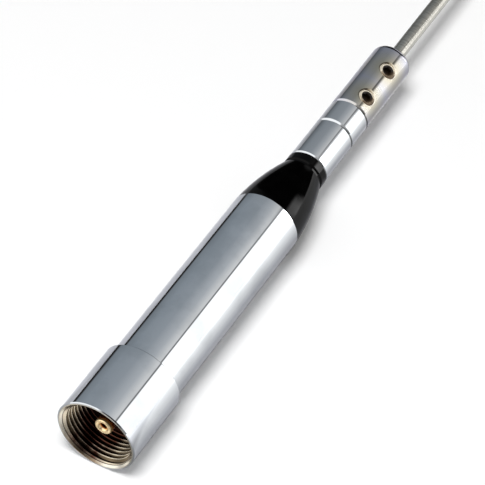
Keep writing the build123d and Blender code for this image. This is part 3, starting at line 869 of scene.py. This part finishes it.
# %% The rings of colour
FLOOR = (        # degrees from -Y towards +X, the linear level there, and how blue it is
    (-180, 1.30), (-125, 1.35), (-58, 1.60), (-38, 0.22), (-15, 0.04), (25, 0.05), (60, 0.15),
    (140, 0.30), (170, 1.30), (180, 1.30))
GROUND = (
    (-180, 0.60), (-125, 1.40), (-22, 1.60), (-8, 0.50), (55, 0.40), (75, 0.18), (130, 0.30),
    (180, 0.60))
WALLS = (
    (-180, 1.00), (-150, 0.80), (-129.5, 0.60), (-127.5, 0.02), (-120, 0.03), (-115, 0.26, 1.25),
    (-90, 0.34, 1.25), (-48, 0.40, 1.2), (-18, 0.59, 1.1), (0, 0.88), (6.3, 0.94), (7.5, 0.13),
    (9.5, 0.13), (11.8, 1.75), (66, 1.75), (82, 0.60), (100, 0.20, 1.1), (140, 0.50, 1.1),
    (155, 0.90), (180, 1.00))
HIGH_LEFT = (    # the rings by the collar, the element base and the holder share their left
    (-180, 1.00), (-150, 0.80), (-126, 0.45), (-122, 0.14, 1.2), (-111, 0.20, 1.2),
    (-88, 0.31, 1.18), (-48, 0.36, 1.15), (-28, 0.49, 1.1), (-6, 0.72), (-0.5, 0.74))
HIGH_RIGHT = ((82, 0.60), (140, 0.60), (180, 1.00))     # and what lies beyond the window
BY_COLLAR = ((8, 0.30), (12, 1.30), (21, 16.0), (33, 16.0), (62, 8.00))
BY_ELEMENT_BASE = (
    (1, 0.24), (4, 0.26), (6.5, 0.62), (9, 0.80), (12.5, 1.30), (16, 1.95), (62, 1.95))
BY_HOLDER = (
    (1, 0.22), (7, 0.22), (10, 0.42), (13, 0.85), (17, 1.45), (21, 1.95), (62, 1.95))
BY_WHIP = (
    (-180, 1.00), (-150, 0.80), (-122, 0.18, 1.1), (-76, 0.26, 1.1), (-48, 0.33, 1.1),
    (-24, 0.41), (-8, 0.46), (8, 0.60), (25, 0.80), (42, 1.12), (62, 1.30), (82, 0.60),
    (180, 1.00))
SKYLIGHT = (
    (-180, 0.90), (-150, 0.20), (-128, 0.03), (-115, 0.01), (17, 0.02), (21, 1.0), (29, 5.3),
    (62, 5.3), (85, 0.60), (180, 0.90))
CEILING = ((-180, 0.90), (-150, 0.20), (-128, 0.03), (-115, 0.01), (75, 0.02), (180, 0.90))
ZENITH = ((-180, 0.90), (180, 0.90))
RINGS = (        # each with the height of the ray at which it starts and is full
    (FLOOR, None, None),
    (GROUND, -0.81, -0.79),
    (WALLS, -0.35, -0.20),
    (HIGH_LEFT + BY_COLLAR + HIGH_RIGHT, 0.605, 0.612),
    (HIGH_LEFT + BY_ELEMENT_BASE + HIGH_RIGHT, 0.628, 0.632),
    (HIGH_LEFT + BY_HOLDER + HIGH_RIGHT, 0.643, 0.648),
    (BY_WHIP, 0.6665, 0.669),
    (SKYLIGHT, 0.69, 0.70),
    (CEILING, 0.76, 0.83),
    (ZENITH, 0.96, 0.985),
)
print("the studio has", len(RINGS), "rings of colour")

# %% [markdown]
# Only mirror rays see those rings. The eye itself sees plain white behind the table, and matt
# surfaces get an even, neutral light.

# %% The world
EVEN_LIGHT = 0.28
WHITE = (1.0, 1.0, 1.0, 1.0)


def towards(degrees):
    """Where a compass direction, from -Y towards +X, falls on the ramp."""
    return (degrees + 180) / 360


def grey(level, blue=1.0):
    """A neutral or slightly blue grey by its linear level."""
    return (level, level * (1 + (blue - 1) / 2), level * blue, 1.0)


world = bpy.data.worlds.new("studio")
bpy.context.scene.world = world
world.use_nodes = True
world.node_tree.nodes.clear()
sky = world.node_tree
ray = add_node(sky, "ShaderNodeTexCoord")
ways = add_node(sky, "ShaderNodeSeparateXYZ", {"Vector": ray.outputs["Generated"]})
ahead = add_node(sky, "ShaderNodeMath", {0: ways.outputs["Y"], 1: -1.0}, operation="MULTIPLY")
azimuth = add_node(sky, "ShaderNodeMath", {
    0: ways.outputs["X"], 1: ahead.outputs["Value"]}, operation="ARCTAN2")
turn = add_node(sky, "ShaderNodeMapRange", {
    "Value": azimuth.outputs["Value"], "From Min": -math.pi, "From Max": math.pi})
mirrored = None
for shades, start, full in RINGS:
    ring = add_node(sky, "ShaderNodeValToRGB", {"Fac": turn.outputs["Result"]}, stops=tuple(
        (towards(degrees), grey(*shade)) for degrees, *shade in shades))
    lit = add_node(sky, "ShaderNodeBackground", {"Color": ring.outputs["Color"], "Strength": 1.0})
    if mirrored is None:
        mirrored = lit.outputs["Background"]
        continue
    reached = add_node(sky, "ShaderNodeMapRange", {
        "Value": ways.outputs["Z"], "From Min": start, "From Max": full})
    both = add_node(sky, "ShaderNodeMixShader", {
        "Fac": reached.outputs["Result"], 1: mirrored, 2: lit.outputs["Background"]})
    mirrored = both.outputs["Shader"]
path = add_node(sky, "ShaderNodeLightPath")
even = add_node(sky, "ShaderNodeBackground", {"Color": WHITE, "Strength": EVEN_LIGHT})
white = add_node(sky, "ShaderNodeBackground", {"Color": WHITE, "Strength": 1.0})
objects_light = add_node(sky, "ShaderNodeMixShader", {
    "Fac": path.outputs["Is Glossy Ray"], 1: even.outputs["Background"], 2: mirrored})
seen_light = add_node(sky, "ShaderNodeMixShader", {
    "Fac": path.outputs["Is Camera Ray"], 1: objects_light.outputs["Shader"],
    2: white.outputs["Background"]})
add_node(sky, "ShaderNodeOutputWorld", {"Surface": seen_light.outputs["Shader"]})
print("the world's tree has", len(sky.nodes), "nodes")

# %% [markdown]
# One broad lamp hangs over the table, a little to the right, and nearer to us than the mouth, so
# that the shadows run up the mast and leave the table before the mouth white. It gives the table
# its white and the soft narrow shadow on the antenna's right. It is kept out of mirror
# reflections, because the chrome already has its window.

# %% The lamp
LAMP_SIZE = 0.4       # its sides, in metres, as the other three are
LAMP_DISTANCE = 0.9   # out of the table
LAMP_RIGHT = 0.055    # across the mast
LAMP_NEARER = 0.27    # along the mast, towards us
LAMP_POWER = 7.85     # in watts
LAMP_AIM_MM = 65.0    # the height on the mast that it looks at, near the barrel's top
lamp_data = bpy.data.lights.new("overhead", "AREA")
lamp_data.shape = "SQUARE"
lamp_data.size = LAMP_SIZE
lamp_data.energy = LAMP_POWER
lamp = bpy.data.objects.new("overhead", lamp_data)
bpy.context.scene.collection.objects.link(lamp)
lamp_aim = Vector((0, 0, LAMP_AIM_MM * MM))
lamp.location = lamp_aim + out_of_table * LAMP_DISTANCE + across_table * LAMP_RIGHT
lamp.location.z -= LAMP_NEARER
lamp.rotation_mode = "QUATERNION"
lamp.rotation_quaternion = (lamp_aim - lamp.location).to_track_quat("-Z", "Y")
lamp.visible_glossy = False
lamp.visible_camera = False
print("lamp at", [round(part, 2) for part in lamp.location])

# %% [markdown]
# ## The camera
#
# The camera looks up the mast from below its foot, with a long lens, so that the plug's mouth
# opens towards us. It is rolled by 38.4 degrees, which lays the antenna along the picture's
# diagonal. Its place was worked out from points on the edges of the antenna's pieces.

# %% The camera
CAMERA_PLACE = Vector((-61.85, -454.45, -279.83)) * MM
CAMERA_AIM = Vector((-1.04, 0.14, 59.97)) * MM
CAMERA_ROLL = math.radians(38.406)
CAMERA_LENS = 200.76  # in millimetres, for a picture 36 mm wide
camera_data = bpy.data.cameras.new("camera")
camera_data.lens = CAMERA_LENS
camera_data.sensor_width = 36.0
camera = bpy.data.objects.new("camera", camera_data)
bpy.context.scene.collection.objects.link(camera)
camera.location = CAMERA_PLACE
camera.rotation_mode = "QUATERNION"
level = (CAMERA_AIM - CAMERA_PLACE).to_track_quat("-Z", "Y")
camera.rotation_quaternion = level @ Quaternion((0, 0, 1), CAMERA_ROLL)
bpy.context.scene.camera = camera
bpy.context.scene.view_settings.view_transform = "Standard"
print("camera is", round((CAMERA_AIM - CAMERA_PLACE).length, 3), "m from what it looks at")
